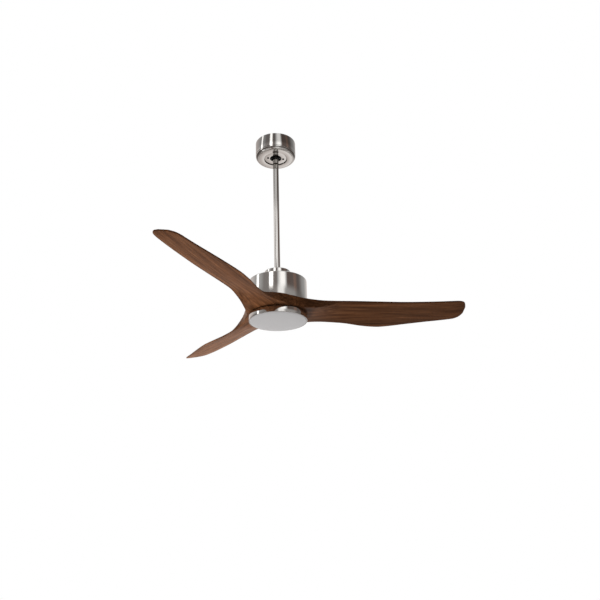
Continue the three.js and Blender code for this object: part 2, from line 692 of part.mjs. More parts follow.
const highEdge = [[VALLEY, -93.3], [70, -85.2], [90, -78], [120, -69.6], [146, -64.2], [175, -62.3],
  [250, -61], [388, -63.2], [524, -65.6], [604, -66.6], [630, -65.4], [645, -59.5], [653, -49],
  [SWEEP_RADIUS, -33]];
const lowEdge = [[VALLEY, 93.3], [70, 85], [92, 76], [120, 64.5], [147, 57.4], [171, 54.3],
  [205, 53.5], [237, 54.3], [272, 59.5], [305, 65.5], [341, 70.3], [374, 71.6], [408, 68.3],
  [476, 56.2], [539, 44.3], [591, 35], [617, 30.3], [635, 26], [650, 15.5], [SWEEP_RADIUS, 0]];
// Heights are above the middle of the root.
const highEdgeTop = [[VALLEY, 16.7], [110, 15.3], [190, 14.8], [250, 15.4], [350, 14.2],
  [430, 13.4], [528, 15.4], [586, 17.8], [SWEEP_RADIUS, 22]];
const lowEdgeBottom = [[VALLEY, -16.7], [110, -17.2], [190, -21.8], [240, -24.8], [295, -29.4],
  [358, -30.9], [392, -28.8], [464, -23.2], [529, -18.8], [582, -15.8], [636, -11.8],
  [SWEEP_RADIUS, -9.5]];
const highEdgeHeight = [[VALLEY, 33.4], [84, 32.6], [134, 26], [177, 14], [208, 6.5], [240, 4.5],
  [SWEEP_RADIUS, 4.2]];
const lowEdgeHeight = [[VALLEY, 33.4], [110, 30], [153, 22], [186, 12.5], [212, 6], [240, 4.5],
  [SWEEP_RADIUS, 4.2]];
const crown = [[VALLEY, 0], [150, 1.5], [260, 3.6], [560, 3.2], [SWEEP_RADIUS, 0.6]];
const CHORD_STEPS = 3;
const TIP_START = 625;

// Section of the blade at x: the underside from the high to the low edge, and the top back.
// Past the start of the tip only the outline narrows, and the blade's plane carries on.
function bladeSection(x) {
  const atRoot = x < VALLEY;
  const plane = Math.min(x, TIP_START);
  const rootHalf = (x - SEAM) * tan60;
  const high = atRoot ? -rootHalf : through(highEdge, x);
  const low = atRoot ? rootHalf : through(lowEdge, x);
  const planeHigh = atRoot ? high : through(highEdge, plane);
  const planeLow = atRoot ? low : through(lowEdge, plane);
  const highTop = through(highEdgeTop, x);
  const highBottom = highTop - through(highEdgeHeight, x);
  const lowBottom = through(lowEdgeBottom, x);
  const lowTop = lowBottom + through(lowEdgeHeight, x);
  const under = [];
  const over = [];
  for (let i = 0; i <= CHORD_STEPS; i += 1) {
    const y = high + (low - high) * i / CHORD_STEPS;
    const t = (y - planeHigh) / (planeLow - planeHigh);
    const bulge = through(crown, x) * 4 * t * (1 - t);
    under.push([x, y, MIDDLE + highBottom + (lowBottom - highBottom) * t - 0.25 * bulge]);
    over.unshift([x, y, MIDDLE + highTop + (lowTop - highTop) * t + bulge]);
  }
  return [...under, ...over];
}

const bladeStations = [ROOT_START, VALLEY, 66, 80, 96, 112, 130, 150, 172, 198, 230, 270, 310, 355, 405,
  460, 530, 600, 630, 643, 652, SWEEP_RADIUS];

// Cuts run from below the wood to above the blade carrier.
const woodCut = { bottom: WOOD_BOTTOM - 20, top: WOOD_TOP + 20 };

function bladeBoltHoles() {
  const [x, y] = BLADE_BOLT;
  return [-y, y].map((side) => bar(
    BLADE_BOLT_SHANK + GAP, [x, side, woodCut.bottom], [x, side, woodCut.top]));
}

const blade = cut(
  loft(bladeStations.map(bladeSection)),
  disc(ROOT_BORE, woodCut.bottom, woodCut.top, MEDIUM),
  disc(ROOT_RECESS_RADIUS, woodCut.bottom, ROOT_RECESS_Z, FINE),
  ...bladeBoltHoles(),
);

const plateShape = new THREE.Shape();
const plateHalf = THREE.MathUtils.degToRad(PLATE_HALF);
plateShape.absarc(0, 0, PLATE_OUTER, -plateHalf, plateHalf);
plateShape.absarc(0, 0, PLATE_INNER, plateHalf, -plateHalf, true);
plateShape.closePath();
const clampPlate = cut(
  raised(plateShape, ROOT_RECESS_Z - PLATE_THICKNESS - GAP, ROOT_RECESS_Z - GAP),
  ...bladeBoltHoles(),
);

const CARRIER_TOP = LOWER_BELL_BOTTOM - GAP;
const CARRIER_RADIUS = 90;
const bladeBoltSeat = ROOT_RECESS_Z - PLATE_THICKNESS - 2 * GAP;
const carrierHoles = [];
for (let i = 0; i < BLADES; i += 1) {
  const degrees = i * 360 / BLADES;
  const arm = new THREE.Group();
  arm.rotation.z = THREE.MathUtils.degToRad(degrees);
  rotor.add(arm);
  piece(`blade_${i + 1}`, walnut, blade, arm);
  piece(`blade_plate_${i + 1}`, steel, clampPlate, arm);
  [-1, 1].forEach((side, k) => {
    const [x, y] = BLADE_BOLT;
    piece(`blade_bolt_${i + 1}_${k + 1}`, steel,
      bolt(x, side * y, BLADE_BOLT_SHANK, bladeBoltSeat, CARRIER_TOP - 1, 4.5, 3), arm);
  });
  carrierHoles.push(...bladeBoltHoles().map((hole) => hole.rotate([0, 0, degrees])));
}

piece('blade_carrier', castAlloy, cut(
  ring(SHAFT_RADIUS + 4, CARRIER_RADIUS, WOOD_TOP + GAP, CARRIER_TOP, FINE),
  ...carrierHoles,
), rotor);

// ---------------------------------------------------------------- light

const RING_WALL = 1.8;
const RING_LIP = 1.2;             // the ring's flange over the pan
const RING_INNER = 86;
const RING_TAPER = 0.9;           // the ring's wall leans in by this much towards its bottom
const RING_EDGE = 0.6;
const PAN_TOP = RING_TOP - RING_LIP - GAP;
const PAN_RADIUS = 97.5;
const PAN_SKIN = 1.2;
const PAN_HOLE = SHAFT_RADIUS + GAP;
const NUT_RADIUS = 14;
const NUT_HEIGHT = 4;
const RING_SCREW_RADIUS = 92;
const RING_SCREW_TURNS = [30, 150, 270];
const RING_SCREW_SHANK = 1.5;
const LED_BOARD_TOP = -715.5;
const LED_BOARD_RADIUS = 90;
const LED_BOARD_THICKNESS = 1.6;
const LED_ROWS = [[36, 6], [72, 9]];  // [radius, count]
const LED_HALF = 1.8;

const ringScrewHoles = RING_SCREW_TURNS.map((turn) => {
  const [x, y] = onCircle(RING_SCREW_RADIUS, turn);
  return bar(RING_SCREW_SHANK + GAP, [x, y, PAN_TOP - 6], [x, y, RING_TOP + 2]);
});

function hexNut(bottom, top) {
  return cut(
    disc(NUT_RADIUS, bottom, top, 6),
    bar(PAN_HOLE, [0, 0, bottom - 1], [0, 0, top + 1], MEDIUM),
  );
}

piece('light_upper_nut', steel, hexNut(PAN_TOP + GAP, PAN_TOP + NUT_HEIGHT));
piece('light_lower_nut', steel,
  hexNut(PAN_TOP - PAN_SKIN - NUT_HEIGHT, PAN_TOP - PAN_SKIN - GAP));

piece('light_pan', steel, cut(
  turned([
    [PAN_HOLE, PAN_TOP],
    [PAN_RADIUS, PAN_TOP],
    [PAN_RADIUS, LED_BOARD_TOP - 1],
    [PAN_RADIUS - PAN_SKIN, LED_BOARD_TOP - 1],
    [PAN_RADIUS - PAN_SKIN, PAN_TOP - PAN_SKIN],
    [PAN_HOLE, PAN_TOP - PAN_SKIN],
  ], FINE),
  ...ringScrewHoles,
));

piece('led_driver', whitePlastic,
  roundedBox(22, 64, -14, 14, LED_BOARD_TOP + 1, PAN_TOP - PAN_SKIN - GAP, 2));

const ledChips = LED_ROWS.flatMap(([radius, count]) => Array.from({ length: count }, (_, i) => boardPart(
  radius, i * 360 / count, LED_HALF, LED_BOARD_TOP - LED_BOARD_THICKNESS - 0.8, LED_BOARD_TOP - 1)));
piece('led_board', whiteBoard, join(
  disc(LED_BOARD_RADIUS, LED_BOARD_TOP - LED_BOARD_THICKNESS, LED_BOARD_TOP, MEDIUM),
  ...ledChips,
));

piece('light_ring', nickel, cut(
  turned([
    [RING_RADIUS - RING_TAPER - RING_WALL, RING_BOTTOM],
    [RING_RADIUS - RING_TAPER - RING_EDGE, RING_BOTTOM],
    [RING_RADIUS - RING_TAPER, RING_BOTTOM + RING_EDGE],
    [RING_RADIUS, RING_TOP - RING_EDGE],
    [RING_RADIUS - RING_EDGE, RING_TOP],
    [RING_INNER, RING_TOP],
    [RING_INNER, RING_TOP - RING_LIP],
    [RING_RADIUS - RING_TAPER - RING_WALL, RING_TOP - RING_LIP],
  ], FINE),
  ...ringScrewHoles,
));

RING_SCREW_TURNS.forEach((turn, i) => {
  const [x, y] = onCircle(RING_SCREW_RADIUS, turn);
  piece(`light_ring_screw_${i + 1}`, steel,
    bolt(x, y, RING_SCREW_SHANK, RING_TOP + GAP, PAN_TOP - PAN_SKIN - 1.5, 2.8, 1.3));
});

const DIFFUSER_RADIUS = RING_RADIUS - RING_TAPER - RING_WALL - GAP;
const DIFFUSER_RIM = LED_BOARD_TOP - 1.5;
const SEAL_OUTER = PAN_RADIUS - PAN_SKIN - GAP;
piece('diffuser_seal', blackRubber,
  ring(SEAL_OUTER - 2.7, SEAL_OUTER, DIFFUSER_RIM + GAP, DIFFUSER_RIM + 3, FINE));
piece('diffuser', opal, turned([
  [0, LIGHT_BOTTOM],
  [50, LIGHT_BOTTOM + 0.5],
  [85, LIGHT_BOTTOM + 1.6],
  [DIFFUSER_RADIUS - 2, LIGHT_BOTTOM + 2.6],
  [DIFFUSER_RADIUS, LIGHT_BOTTOM + 4],
  [DIFFUSER_RADIUS, DIFFUSER_RIM],
  [DIFFUSER_RADIUS - 2.5, DIFFUSER_RIM],
  [DIFFUSER_RADIUS - 2.5, LIGHT_BOTTOM + 5],
  [85, LIGHT_BOTTOM + 3.6],
  [50, LIGHT_BOTTOM + 2.5],
  [0, LIGHT_BOTTOM + 2],
], FINE));

export default fan;
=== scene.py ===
"""Looks of the ceiling fan with light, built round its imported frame."""

import json
import math

import bmesh
import bpy
from mathutils import Matrix, Vector


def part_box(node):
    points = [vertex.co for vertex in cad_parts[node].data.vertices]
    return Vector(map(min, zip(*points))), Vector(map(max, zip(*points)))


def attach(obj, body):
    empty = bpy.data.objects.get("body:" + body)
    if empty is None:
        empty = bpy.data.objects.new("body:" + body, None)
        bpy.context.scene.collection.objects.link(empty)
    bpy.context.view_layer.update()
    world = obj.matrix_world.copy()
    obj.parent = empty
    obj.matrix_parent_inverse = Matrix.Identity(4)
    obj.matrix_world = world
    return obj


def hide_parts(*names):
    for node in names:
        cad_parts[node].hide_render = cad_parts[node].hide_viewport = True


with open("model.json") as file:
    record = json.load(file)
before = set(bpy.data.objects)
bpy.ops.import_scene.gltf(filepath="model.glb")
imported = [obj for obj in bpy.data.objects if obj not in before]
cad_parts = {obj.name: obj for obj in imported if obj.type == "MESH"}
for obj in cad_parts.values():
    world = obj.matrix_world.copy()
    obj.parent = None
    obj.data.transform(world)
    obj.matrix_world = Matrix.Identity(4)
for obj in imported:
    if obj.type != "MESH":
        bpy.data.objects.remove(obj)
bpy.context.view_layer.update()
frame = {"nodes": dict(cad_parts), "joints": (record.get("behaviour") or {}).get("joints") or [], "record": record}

MM = 0.001
GAP = 0.3                         # between neighbouring pieces

# ---------------------------------------------------------------- sizes taken from the frame, in mm

def low(node):
    """The lowest x, y and z of a CAD node."""
    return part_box(node)[0] / MM


def high(node):
    """The highest x, y and z of a CAD node."""
    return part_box(node)[1] / MM


def middle_z(node):
    """The height of a CAD node's middle."""
    return (low(node)[2] + high(node)[2]) / 2


CANOPY_RADIUS = high("canopy")[0]
CANOPY_TOP = high("canopy")[2]
CANOPY_BOTTOM = low("canopy")[2]
ROD_RADIUS = high("downrod")[0]
ROD_TOP = high("downrod")[2]
ROD_BOTTOM = low("downrod")[2]
CAP_RADIUS = high("coupling_cover")[0]
CAP_TOP = high("coupling_cover")[2]
CAP_BOTTOM = low("coupling_cover")[2]
COVER_RADIUS = high("motor_cover")[0]
COVER_TOP = high("motor_cover")[2]
COVER_BOTTOM = low("motor_cover")[2]
WOOD_HALF = 16.75                 # from the wood's top at the hub down to its middle
WOOD_MIDDLE = low("blade_carrier")[2] - GAP - WOOD_HALF
RING_RADIUS = high("light_ring")[0]
RING_TOP = high("light_ring")[2]
RING_BOTTOM = low("light_ring")[2]
LIGHT_BOTTOM = low("diffuser")[2]
DIFFUSER_TOP = high("diffuser")[2]
BALL_CENTRE = Vector(frame["joints"][0]["pos_m"])[2] / MM
REST_TURN = math.radians(4.6)     # how far the first blade is turned from +X at rest


# ---------------------------------------------------------------- mesh helpers

MERGE = 0.002                     # mm, points nearer than this become one
SLIVER = 0.0005                   # mm, edges shorter than this are dissolved
SMOOTH_ANGLE = math.radians(32)   # edges that turn by more than this are sharp
SOFT_SHARE = 0.45                 # the share of an outline's side that one rounded corner may use


def mark_edges(bm):
    """Shades bm smooth, apart from its sharp edges."""
    for face in bm.faces:
        face.smooth = True
    for edge in bm.edges:
        edge.smooth = len(edge.link_faces) == 2 and edge.calc_face_angle(0) < SMOOTH_ANGLE


def finished(name, bm):
    """A mesh object from bm, in metres, with its faces pointing out and its sharp edges marked."""
    bmesh.ops.remove_doubles(bm, verts=bm.verts, dist=MERGE)
    bmesh.ops.dissolve_degenerate(bm, edges=bm.edges, dist=SLIVER)
    bmesh.ops.recalc_face_normals(bm, faces=bm.faces)
    if bm.calc_volume(signed=True) < 0:
        bmesh.ops.reverse_faces(bm, faces=bm.faces)
    mark_edges(bm)
    bmesh.ops.scale(bm, vec=(MM, MM, MM), verts=bm.verts)
    mesh = bpy.data.meshes.new(name)
    bm.to_mesh(mesh)
    bm.free()
    obj = bpy.data.objects.new(name, mesh)
    bpy.context.scene.collection.objects.link(obj)
    return obj


def skinned(rows, ends="caps"):
    """A bmesh over rows of points. Each row is a loop; ends are capped, or joined to a ring."""
    bm = bmesh.new()
    loops = [[bm.verts.new(point) for point in row] for row in rows]
    count = len(rows[0])
    pairs = list(zip(loops, loops[1:]))
    if ends == "ring":
        pairs.append((loops[-1], loops[0]))
    for first, second in pairs:
        for k in range(count):
            n = (k + 1) % count
            bm.faces.new((first[k], first[n], second[n], second[k]))
    if ends == "caps":
        bm.faces.new(loops[0])
        bm.faces.new(loops[-1])
    return bm


def arc(r, z, radius, start, end, steps):
    """Points (r, z) on an arc, in degrees from the outward direction, up being 90."""
    turns = [math.radians(start + (end - start) * i / steps) for i in range(steps + 1)]
    return [(r + radius * math.cos(a), z + radius * math.sin(a)) for a in turns]


SOFT_STEPS = 3


def softened(profile, radius):
    """A closed profile with its corners rounded."""
    soft = []
    for i, corner in enumerate(profile):
        here = Vector(corner)
        back = Vector(profile[i - 1]) - here
        ahead = Vector(profile[(i + 1) % len(profile)]) - here
        reach = min(radius, SOFT_SHARE * back.length, SOFT_SHARE * ahead.length)
        start = here + back.normalized() * reach
        end = here + ahead.normalized() * reach
        for k in range(SOFT_STEPS + 1):
            t = k / SOFT_STEPS
            soft.append(tuple(start * (1 - t) ** 2 + here * 2 * t * (1 - t) + end * t ** 2))
    return soft


def turned_mesh(profile, sides):
    """A bmesh of a closed profile of (radius, z) turned about Z."""
    rows = []
    for i in range(sides):
        a = 2 * math.pi * i / sides
        rows.append([(r * math.cos(a), r * math.sin(a), z) for r, z in profile])
    return skinned(rows, "ring")


SMALL_SIDES = 96                  # sides of small, middling and large turned pieces
SIDES = 160
LARGE_SIDES = 192


def ring_piece(name, profile, sides=SIDES, soft=0.3):
    """A mesh object of a closed profile of (radius, z), softened and turned about Z."""
    return finished(name, turned_mesh(softened(profile, soft), sides))


def round_bar(radius, start, end, sides=24):
    """A bmesh of a round bar between two points."""
    start = Vector(start)
    way = Vector(end) - start
    turn = way.to_track_quat("Z", "Y").to_matrix()
    rows = []
    for t in (0, 1):
        middle = start + way * t
        rows.append([middle + turn @ Vector((radius * math.cos(2 * math.pi * k / sides),
                                             radius * math.sin(2 * math.pi * k / sides), 0))
                     for k in range(sides)])
    return skinned(rows)


def block(x0, x1, y0, y1, z0, z1):
    """A bmesh of a box between its limits along X, Y and Z."""
    rows = [[(x, y0, z0), (x, y1, z0), (x, y1, z1), (x, y0, z1)] for x in (x0, x1)]
    return skinned(rows)


def carved(obj, tools, operation="DIFFERENCE"):
    """Cuts the tools, each a bmesh in mm, out of obj, or joins them to it."""
    for tool in tools:
        cutter = finished("cutter", tool)
        change = obj.modifiers.new("carve", "BOOLEAN")
        change.operation = operation
        change.solver = "EXACT"
        change.object = cutter
        baked(obj)
        bpy.data.objects.remove(cutter)
    return obj


def baked(obj):
    """Applies obj's modifiers to its mesh."""
    graph = bpy.context.evaluated_depsgraph_get()
    mesh = bpy.data.meshes.new_from_object(obj.evaluated_get(graph))
    old = obj.data
    obj.modifiers.clear()
    obj.data = mesh
    bpy.data.meshes.remove(old)


def resharpened(obj):
    """Marks obj's sharp edges again after its mesh was cut."""
    bm = bmesh.new()
    bm.from_mesh(obj.data)
    mark_edges(bm)
    bm.to_mesh(obj.data)
    bm.free()
    return obj


def placed(obj, body, slot, material, *nodes):
    """Gives obj its material and body, and hides the CAD nodes that it stands for. slot is not used."""
    obj.data.materials.clear()
    obj.data.materials.append(material)
    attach(obj, body)
    if nodes:
        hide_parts(*nodes)
    return obj


# ---------------------------------------------------------------- materials

def shader(name, **values):
    """A new material with its Principled shader's own values set."""
    material = bpy.data.materials.new(name)
    material.use_nodes = True
    bsdf = material.node_tree.nodes["Principled BSDF"]
    for socket, value in values.items():
        bsdf.inputs[socket.replace("_", " ")].default_value = value
    return material, material.node_tree, bsdf


def node(tree, kind, inputs=None, **settings):
    """A new node, with its settings and with its inputs set or linked."""
    made = tree.nodes.new(kind)
    for key, value in settings.items():
        setattr(made, key, value)
    for key, value in (inputs or {}).items():
        if isinstance(value, bpy.types.NodeSocket):
            tree.links.new(value, made.inputs[key])
        else:
            made.inputs[key].default_value = value
    return made


def ramp(tree, factor, stops):
    """A colour ramp; each stop is (position, grey or colour)."""
    made = node(tree, "ShaderNodeValToRGB", {"Fac": factor})
    elements = made.color_ramp.elements
    while len(elements) < len(stops):
        elements.new(0.5)
    for element, (position, colour) in zip(elements, stops):
        element.position = position
        grey = (colour,) * 3 if isinstance(colour, (int, float)) else colour
        element.color = (*grey, 1)
    return made.outputs["Color"]


def stretched(tree, scale, turn=0.0):
    """Object coordinates turned about Z and scaled, so that a texture can run lengthwise."""
    where = node(tree, "ShaderNodeTexCoord").outputs["Object"]
    turned = node(tree, "ShaderNodeVectorRotate", {"Vector": where, "Angle": -turn}, rotation_type="Z_AXIS")
    return node(tree, "ShaderNodeMapping", {"Vector": turned.outputs[0], "Scale": scale}).outputs[0]


def noise(tree, vector, scale, detail=4, rough=0.5, distortion=0.0):
    """Noise between 0 and 1 at a vector."""
    made = node(tree, "ShaderNodeTexNoise",
                {"Vector": vector, "Scale": scale, "Detail": detail, "Roughness": rough,
                 "Distortion": distortion})
    return made.outputs["Fac"]


def bumped(tree, bsdf, height, strength, distance):
    """Gives a shader a relief from a height, distance deep in metres."""
    bump = node(tree, "ShaderNodeBump", {"Height": height, "Strength": strength, "Distance": distance})
    tree.links.new(bump.outputs[0], bsdf.inputs["Normal"])


def mixed(tree, factor, first, second, blend="MIX"):
    """Two colours mixed by a factor; each of the three is a value or a socket."""
    made = node(tree, "ShaderNodeMix", data_type="RGBA", blend_type=blend)
    for socket, value in ((made.inputs[0], factor), (made.inputs[6], first), (made.inputs[7], second)):
        if isinstance(value, bpy.types.NodeSocket):
            tree.links.new(value, socket)
        else:
            socket.default_value = value
    return made.outputs[2]


def nickel(name, colour, roughness, brushing):
    """Nickel with fine lines turned round its axis, smudges in the gloss, and a slight drift in its colour."""
    material, tree, bsdf = shader(name, Metallic=1.0)
    lines = noise(tree, stretched(tree, (0.6, 0.6, 60)), 60, detail=3, rough=0.7)
    smudge = noise(tree, stretched(tree, (1, 1, 1)), 14, detail=3)
    tint = ramp(tree, smudge, ((0.3, tuple(0.965 * c for c in colour)), (0.7, colour)))
    tree.links.new(mixed(tree, 0.06, tint, ramp(tree, lines, ((0.3, 0.4), (0.7, 0.9))), "MULTIPLY"),
                   bsdf.inputs["Base Color"])
    blend = node(tree, "ShaderNodeMath", {0: lines, 1: smudge}, operation="ADD").outputs[0]
    gloss = node(tree, "ShaderNodeMapRange", {"Value": blend, "From Min": 0.7, "From Max": 1.3,
                                              "To Min": roughness * 0.8, "To Max": roughness * 1.25})
    tree.links.new(gloss.outputs[0], bsdf.inputs["Roughness"])
    bumped(tree, bsdf, lines, brushing, 0.0002)
    return material


# Painted shade: a near-black colour for the canopy's inside, standing in for the shade that the ceiling casts
# there.
PAINTED_SHADE = (0.03, 0.03, 0.03, 1)


def painted_shade_within(material, radius, height):
    """Paints shade into a turned cup: dark where it lies within radius and above height, standing in for the shade
    that the ceiling casts inside it.
    """
    tree = material.node_tree
    bsdf = tree.nodes["Principled BSDF"]
    polished = bsdf.inputs["Base Color"].links[0].from_socket
    where = node(tree, "ShaderNodeTexCoord").outputs["Object"]
    flat = stretched(tree, (1, 1, 0))
    reach = node(tree, "ShaderNodeVectorMath", {0: flat}, operation="LENGTH").outputs["Value"]
    near = node(tree, "ShaderNodeMath", {0: reach, 1: radius * MM}, operation="LESS_THAN")
    level = node(tree, "ShaderNodeSeparateXYZ", {0: where}).outputs["Z"]
    above = node(tree, "ShaderNodeMath", {0: level, 1: height * MM}, operation="GREATER_THAN")
    inside = node(tree, "ShaderNodeMath", {0: near.outputs[0], 1: above.outputs[0]}, operation="MULTIPLY")
    tree.links.new(mixed(tree, inside.outputs[0], polished, PAINTED_SHADE), bsdf.inputs["Base Color"])
    return material


WALNUT_FIBRE = ((0.30, (0.040, 0.0138, 0.0046)), (0.5, (0.092, 0.0350, 0.0130)),
                (0.68, (0.170, 0.070, 0.0280)))


def walnut(name, turn, painted_lighting):
    """Satin walnut with its grain along a blade that is turned about Z, made lighter by a factor that is painted
    light for how brightly that blade is lit.
    """
    material, tree, bsdf = shader(name, Specular_IOR_Level=0.04, Sheen_Weight=0.24,
                                  Sheen_Roughness=0.3, Sheen_Tint=(1.0, 0.66, 0.46, 1))
    broad = noise(tree, stretched(tree, (1.4, 16, 16), turn), 1.6, detail=3, distortion=0.6)
    grain = noise(tree, stretched(tree, (2.2, 75, 75), turn), 2.4, detail=6, rough=0.65, distortion=0.35)
    pores = noise(tree, stretched(tree, (14, 420, 420), turn), 2.0, detail=2, rough=0.6)
    stops = [(place, tuple(painted_lighting * c for c in colour)) for place, colour in WALNUT_FIBRE]
    fibre = ramp(tree, grain, stops)
    drift = ramp(tree, broad, ((0.3, 0.66), (0.7, 1.3)))
    wood = mixed(tree, 1.0, fibre, drift, "MULTIPLY")
    dash = ramp(tree, pores, ((0.30, 0.45), (0.42, 1.0)))
    pored = mixed(tree, 1.0, wood, dash, "MULTIPLY")
    tree.links.new(mixed(tree, 0.55, wood, pored), bsdf.inputs["Base Color"])
    gloss = node(tree, "ShaderNodeMapRange", {"Value": grain, "From Min": 0.3, "From Max": 0.7,
                                              "To Min": 0.5, "To Max": 0.36})
    tree.links.new(gloss.outputs[0], bsdf.inputs["Roughness"])
    relief = mixed(tree, 0.5, ramp(tree, grain, ((0.2, 0.0), (0.8, 1.0))), dash)
    bumped(tree, bsdf, relief, 0.25, 0.0003)
    return material


def speckled(name, colour, roughness, metallic=0.0, scale=60, depth=0.0002, contrast=0.12, **values):
    """A plain finish with a fine cast, moulded or plated texture, depth deep in metres."""
    material, tree, bsdf = shader(name, Metallic=metallic, **values)
    grain = noise(tree, stretched(tree, (1, 1, 1)), scale, detail=5)
    cloud = noise(tree, stretched(tree, (1, 1, 1)), scale / 8, detail=3)
    dark = tuple(c * (1 - contrast) for c in colour)
    light = tuple(min(1.0, c * (1 + contrast)) for c in colour)
    tree.links.new(ramp(tree, cloud, ((0.3, dark), (0.7, light))), bsdf.inputs["Base Color"])
    spread = node(tree, "ShaderNodeMapRange", {"Value": grain, "From Min": 0.3, "From Max": 0.7,
                                               "To Min": roughness * 0.85, "To Max": roughness * 1.15})
    tree.links.new(spread.outputs[0], bsdf.inputs["Roughness"])
    bumped(tree, bsdf, grain, 0.2, depth)
    return material


NICKEL = (0.62, 0.60, 0.575)
BRUSHED = (0.075, 0.02)           # roughness, and the strength of the turned lines
POLISHED = (0.04, 0.0015)
BRUSHED_NICKEL = nickel("brushed_nickel", NICKEL, *BRUSHED)
POLISHED_NICKEL = nickel("polished_nickel", NICKEL, *POLISHED)
STEEL = speckled("zinc_plated_steel", (0.5, 0.5, 0.49), 0.34, 1.0, 90)
DARK_STEEL = speckled("black_oxide_steel", (0.012, 0.012, 0.013), 0.45, 0.0, 120,
                      Specular_IOR_Level=0.2)
BLACK_RUBBER = speckled("black_rubber", (0.012, 0.012, 0.012), 0.8, 0.0, 160,
                        Specular_IOR_Level=0.2)
BLACK_PLASTIC = speckled("black_plastic", (0.014, 0.014, 0.015), 0.5, 0.0, 220,
                         Specular_IOR_Level=0.2)
WHITE_PLASTIC = speckled("white_plastic", (0.78, 0.78, 0.75), 0.42, 0.0, 200, contrast=0.03)
OPAL = speckled("opal_acrylic", (0.44, 0.44, 0.446), 0.42, 0.0, 260, 0.00005, 0.015)
CAST_ALLOY = speckled("cast_alloy", (0.56, 0.56, 0.57), 0.5, 1.0, 110, 0.0003)
SILICON_STEEL = speckled("laminated_steel", (0.22, 0.22, 0.24), 0.45, 1.0, 90)
COPPER = speckled("enamelled_copper", (0.6, 0.24, 0.1), 0.3, 1.0, 140)
FERRITE = speckled("ferrite", (0.035, 0.035, 0.04), 0.6, 0.0, 130)
CIRCUIT_BOARD = speckled("circuit_board", (0.02, 0.14, 0.05), 0.35, 0.0, 120)
WHITE_BOARD = speckled("white_board", (0.8, 0.79, 0.75), 0.35, 0.0, 120, contrast=0.03)

SLOT_MATERIALS = {
    "nickel": BRUSHED_NICKEL, "steel": STEEL, "dark_steel": DARK_STEEL, "black_rubber": BLACK_RUBBER,
    "black_plastic": BLACK_PLASTIC, "white_plastic": WHITE_PLASTIC, "opal": OPAL,
    "cast_alloy": CAST_ALLOY, "silicon_steel": SILICON_STEEL, "copper": COPPER, "ferrite": FERRITE,
    "circuit_board": CIRCUIT_BOARD, "white_board": WHITE_BOARD,
}
for part in frame["record"]["subparts"]:
    if part["material_slot"] in SLOT_MATERIALS:
        cad = frame["nodes"][part["node"]]
        for place in cad.material_slots:
            place.material = SLOT_MATERIALS[part["material_slot"]]


# ---------------------------------------------------------------- canopy

SKIN = 1.5                        # sheet thickness of the canopy and of the motor's covers
CUT = 5                           # how far a cutting tool reaches past what it cuts
CANOPY_CORNER = 12
CORNER_END = -78                  # degrees at which the rounding stops above its lower groove
CORNER_INSET = 0.1
RECESS = 3
RECESS_RADIUS = 42
HOLE_RADIUS = 21.3
HOLE_CHAMFER = 1
GROOVE = 1.2                      # depth of the fine grooves above and below the rounding
GROOVE_WIDTH = 1.6
GROOVE_SLOPE = 0.4
GROOVE_LIFT = 0.3                 # the lower groove starts this far above the bottom
FOOT = 0.2                        # from the rounding's centre out to the flat underside
RECESS_GROOVE = 5                 # depth of the groove round the recess
RECESS_GROOVE_HALF = 1.4
INNER_RISE = 4                    # the inner wall starts this far above the rounding
recess_z = CANOPY_BOTTOM + RECESS
corner_r = CANOPY_RADIUS - CANOPY_CORNER
corner_z = CANOPY_BOTTOM + CANOPY_CORNER
groove_in = RECESS_RADIUS - RECESS_GROOVE_HALF
groove_out = RECESS_RADIUS + RECESS_GROOVE_HALF
groove_z = recess_z + RECESS_GROOVE
low_groove_z = CANOPY_BOTTOM + GROOVE_LIFT + GROOVE

canopy = ring_piece("canopy_shell", [
    (CANOPY_RADIUS, CANOPY_TOP),
    (CANOPY_RADIUS, corner_z + 2 * GROOVE_SLOPE + GROOVE_WIDTH),
    (CANOPY_RADIUS - GROOVE, corner_z + GROOVE_SLOPE + GROOVE_WIDTH),
    (CANOPY_RADIUS - GROOVE, corner_z + GROOVE_SLOPE),
    *arc(corner_r, corner_z, CANOPY_CORNER - CORNER_INSET, 0, CORNER_END, 14),
    (corner_r + FOOT + GROOVE_SLOPE + GROOVE_WIDTH, low_groove_z),
    (corner_r + FOOT + GROOVE_SLOPE, low_groove_z),
    (corner_r + FOOT, CANOPY_BOTTOM),
    (groove_out, CANOPY_BOTTOM),
    (groove_out, groove_z),
    (groove_in, groove_z),
    (groove_in, recess_z),
    (HOLE_RADIUS + HOLE_CHAMFER, recess_z),
    (HOLE_RADIUS, recess_z + HOLE_CHAMFER / 2),
    (HOLE_RADIUS, recess_z + SKIN),
    (groove_in - SKIN, recess_z + SKIN),
    (groove_in - SKIN, groove_z + SKIN),
    (groove_out + SKIN, groove_z + SKIN),
    (groove_out + SKIN, CANOPY_BOTTOM + 2 * SKIN),
    *arc(corner_r, corner_z, CANOPY_CORNER - 2 * SKIN, -90, 0, 8),
    (CANOPY_RADIUS - SKIN, corner_z + INNER_RISE),
    (CANOPY_RADIUS - SKIN, CANOPY_TOP),
], soft=0.2)

CANOPY_SCREW_RADIUS = 28.8        # from the axis to each screw
CANOPY_SCREW_TURNS = (189, 9)     # degrees
SCREW_HOLE = 2.3
screw_places = []
for degrees in CANOPY_SCREW_TURNS:
    angle = math.radians(degrees)
    screw_places.append((CANOPY_SCREW_RADIUS * math.cos(angle), CANOPY_SCREW_RADIUS * math.sin(angle)))
carved(canopy, [round_bar(SCREW_HOLE, (x, y, recess_z - CUT), (x, y, recess_z + CUT))
                for x, y in screw_places])
# The canopy's inside is painted dark, as painted shade for the ceiling's shadow.
SHADED_CANOPY_NICKEL = painted_shade_within(nickel("canopy_nickel", NICKEL, *BRUSHED),
                            CANOPY_RADIUS - SKIN / 2, corner_z + INNER_RISE)
placed(resharpened(canopy), "ceiling_mount", "nickel", SHADED_CANOPY_NICKEL, "canopy")

